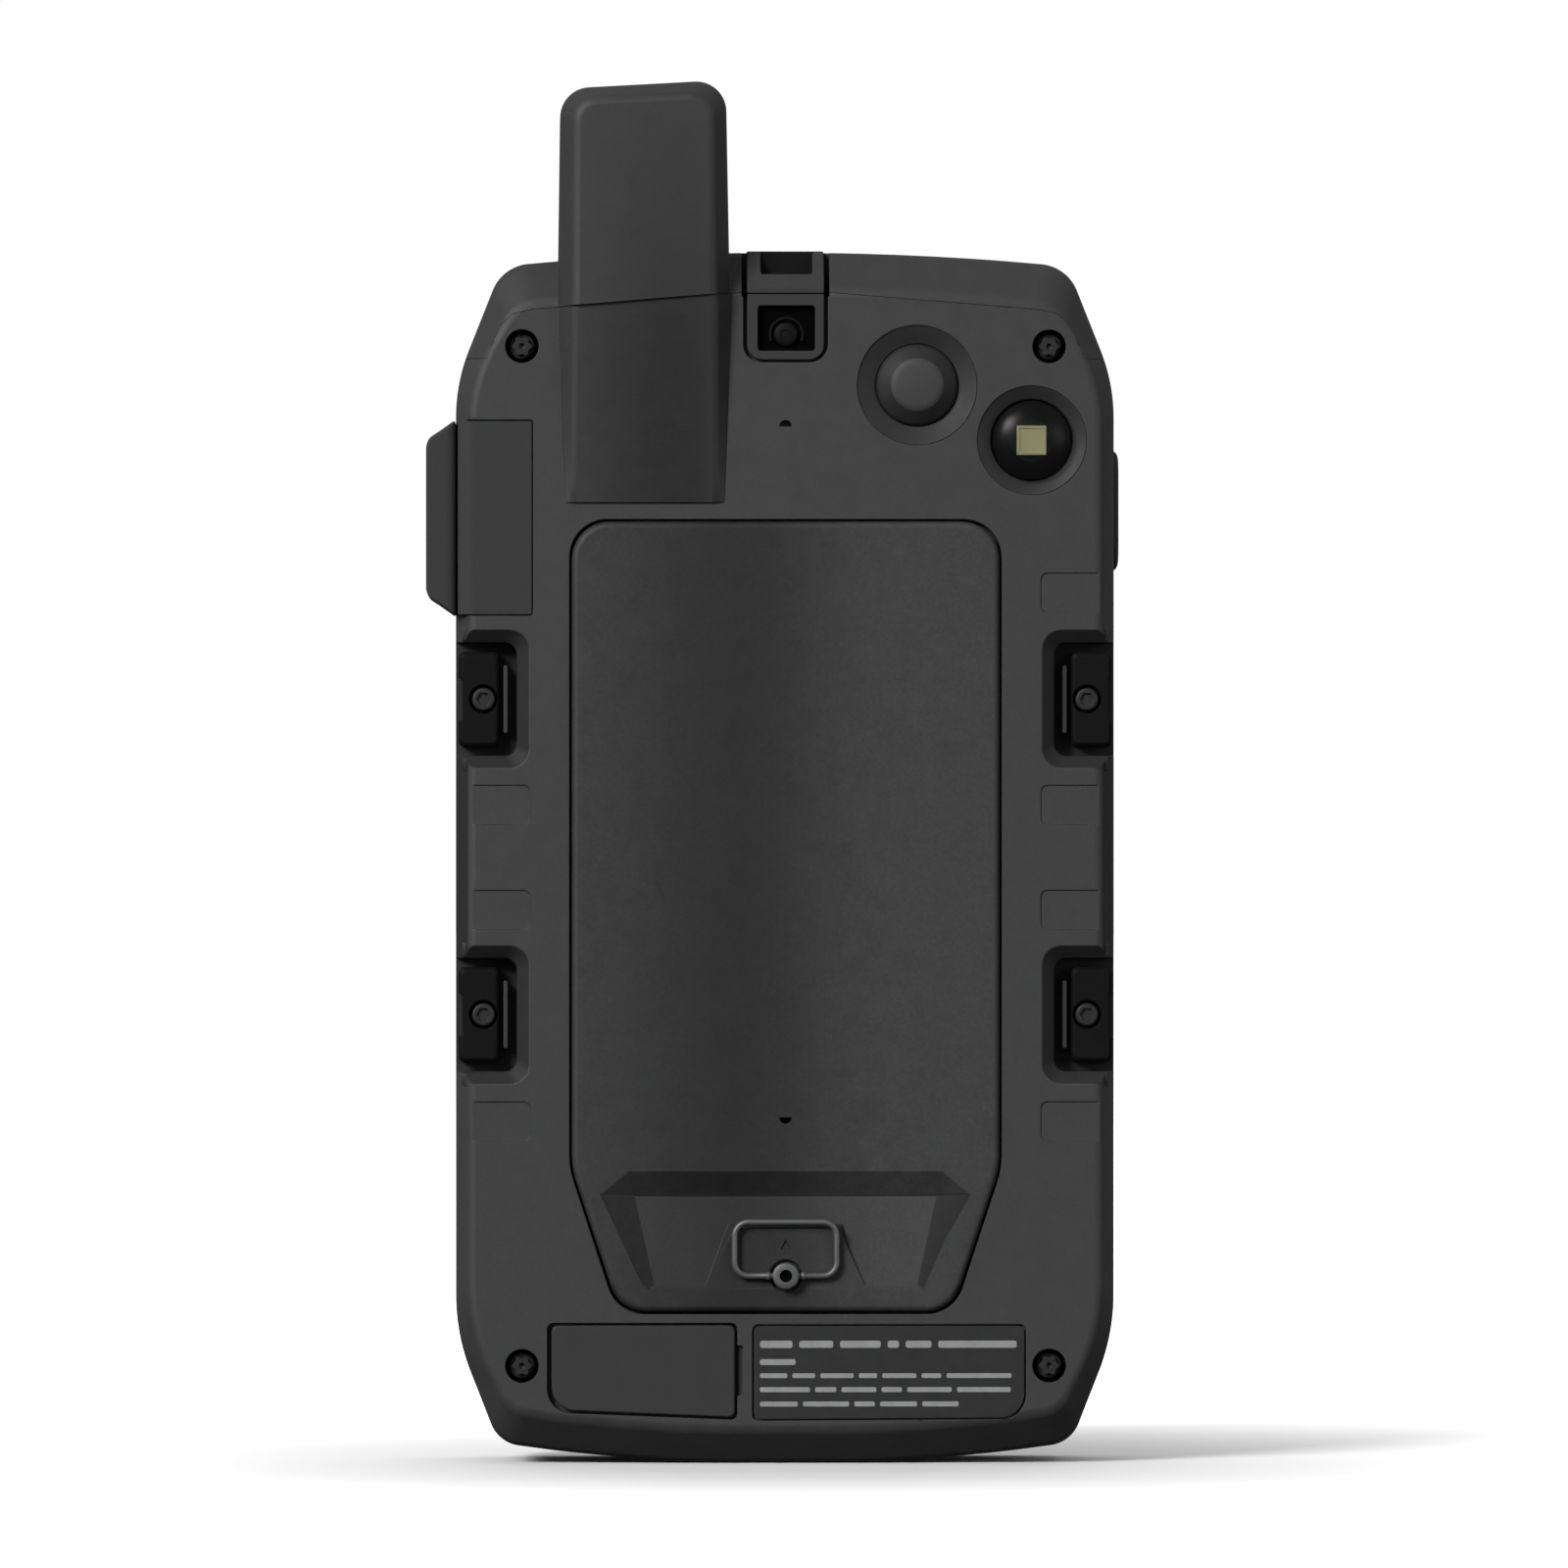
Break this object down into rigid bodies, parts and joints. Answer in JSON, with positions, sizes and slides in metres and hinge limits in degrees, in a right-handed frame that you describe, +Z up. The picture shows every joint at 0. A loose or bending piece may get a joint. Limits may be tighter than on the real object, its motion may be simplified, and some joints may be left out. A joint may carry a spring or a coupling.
{
  "type": "handheld satellite emergency position beacon",
  "caption": "Upright rugged handheld with a fixed side antenna, rear battery door, hinged port covers, guarded alarm key and a front display.",
  "frame": {"origin": "on the flat of the base, in the centre plane", "axes": "+Z up along the body, +Y out of the screen, -Y out of the rear face with the battery door, +X to the right seen from behind"},
  "size_m": [0.092, 0.0326, 0.1831],
  "materials": {
    "housing_plastic": "fine moulded texture, satin",
    "radome_plastic": "fine moulded texture, satin",
    "door_plastic": "fine moulded texture, matte",
    "front_plastic": "moulded, matte",
    "rubber": "soft matte",
    "black_plastic": "moulded, satin",
    "label_film": "printed film, satin",
    "screen_glass": "polished black-backed glass",
    "clear_lens": "clear moulded lens",
    "led_phosphor": "yellow phosphor",
    "black_steel": "black oxide",
    "bright_steel": "satin stainless",
    "aluminium": "plain sheet",
    "gold_contact": "gold flash",
    "board_green": "solder mask",
    "ceramic": "fired ceramic",
    "seal_rubber": "silicone",
    "battery_wrap": "shrink wrap"
  },
  "bodies": {
    "case": {"antenna_connector": "gold_contact", "antenna_feed_board": "board_green", "battery_contacts": "gold_contact", "battery_pack": "battery_wrap", "camera_blank": "housing_plastic", "case_gasket": "seal_rubber", "case_screw_1": "black_steel", "case_screw_2": "black_steel", "case_screw_3": "black_steel", "case_screw_4": "black_steel", "display_frame": "aluminium", "front_housing": "front_plastic", "insert_screw_1": "black_steel", "insert_screw_2": "black_steel", "insert_screw_3": "black_steel", "insert_screw_4": "black_steel", "label_plate": "label_film", "lcd_module": "black_plastic", "main_board": "board_green", "memory_card": "black_plastic", "memory_card_socket": "bright_steel", "navigation_antenna": "ceramic", "pocket_insert_1": "black_plastic", "pocket_insert_2": "black_plastic", "pocket_insert_3": "black_plastic", "pocket_insert_4": "black_plastic", "port_cap_anchor": "rubber", "port_cap_screw": "black_steel", "power_button_switch": "bright_steel", "rear_housing": "housing_plastic", "satellite_antenna_core": "ceramic", "satellite_antenna_film": "gold_contact", "screen_glass": "screen_glass", "shield_can": "aluminium", "sos_button_switch": "bright_steel", "sos_cover_strap": "rubber", "sounder": "black_plastic", "top_cap": "radome_plastic", "torch_board": "board_green", "torch_led": "led_phosphor", "torch_lens": "clear_lens", "usb_board": "board_green", "usb_receptacle": "bright_steel", "vent_membrane": "ceramic"},
    "sos_cover": {"sos_cover": "rubber"},
    "sos_button": {"sos_button": "black_plastic"},
    "power_button": {"power_button": "rubber"},
    "battery_door": {"battery_door": "door_plastic", "battery_door_seal": "seal_rubber"},
    "latch": {"latch_stud": "bright_steel", "latch_cam": "bright_steel"},
    "latch_ring": {"latch_ring": "bright_steel"},
    "usb_cap": {"usb_cap": "rubber"},
    "antenna_port_cap": {"antenna_port_cap": "rubber"}
  },
  "joints": [
    {"name": "sos_cover_hinge", "type": "hinge", "parent": "case", "child": "sos_cover", "pos_m": [-0.0434, -0.012, 0.1253], "axis": [0, 0, 1], "range_deg": [0, 110]},
    {"name": "sos_button_press", "type": "slide", "parent": "case", "child": "sos_button", "axis": [1, 0, 0], "range_m": [0, 0.0005], "stiffness_N_per_m": 4000, "springref_m": -0.0002},
    {"name": "power_button_press", "type": "slide", "parent": "case", "child": "power_button", "axis": [-1, 0, 0], "range_m": [0, 0.0005], "stiffness_N_per_m": 4000, "springref_m": -0.0002},
    {"name": "battery_door_lift", "type": "slide", "parent": "case", "child": "battery_door", "axis": [0, -1, 0], "range_m": [0, 0.03]},
    {"name": "latch_turn", "type": "hinge", "parent": "battery_door", "child": "latch", "pos_m": [0, -0.01395, 0.025], "axis": [0, 1, 0], "range_deg": [0, 90]},
    {"name": "latch_ring_flip", "type": "hinge", "parent": "latch", "child": "latch_ring", "pos_m": [0, -0.01395, 0.025], "axis": [1, 0, 0], "range_deg": [0, 100]},
    {"name": "usb_cap_hinge", "type": "hinge", "parent": "case", "child": "usb_cap", "pos_m": [-0.0305, -0.0119, 0.0125], "axis": [0, 0, -1], "range_deg": [0, 100]},
    {"name": "antenna_port_cap_hinge", "type": "hinge", "parent": "case", "child": "antenna_port_cap", "pos_m": [0, -0.0125, 0.155], "axis": [1, 0, 0], "range_deg": [0, 100]}
  ]
}
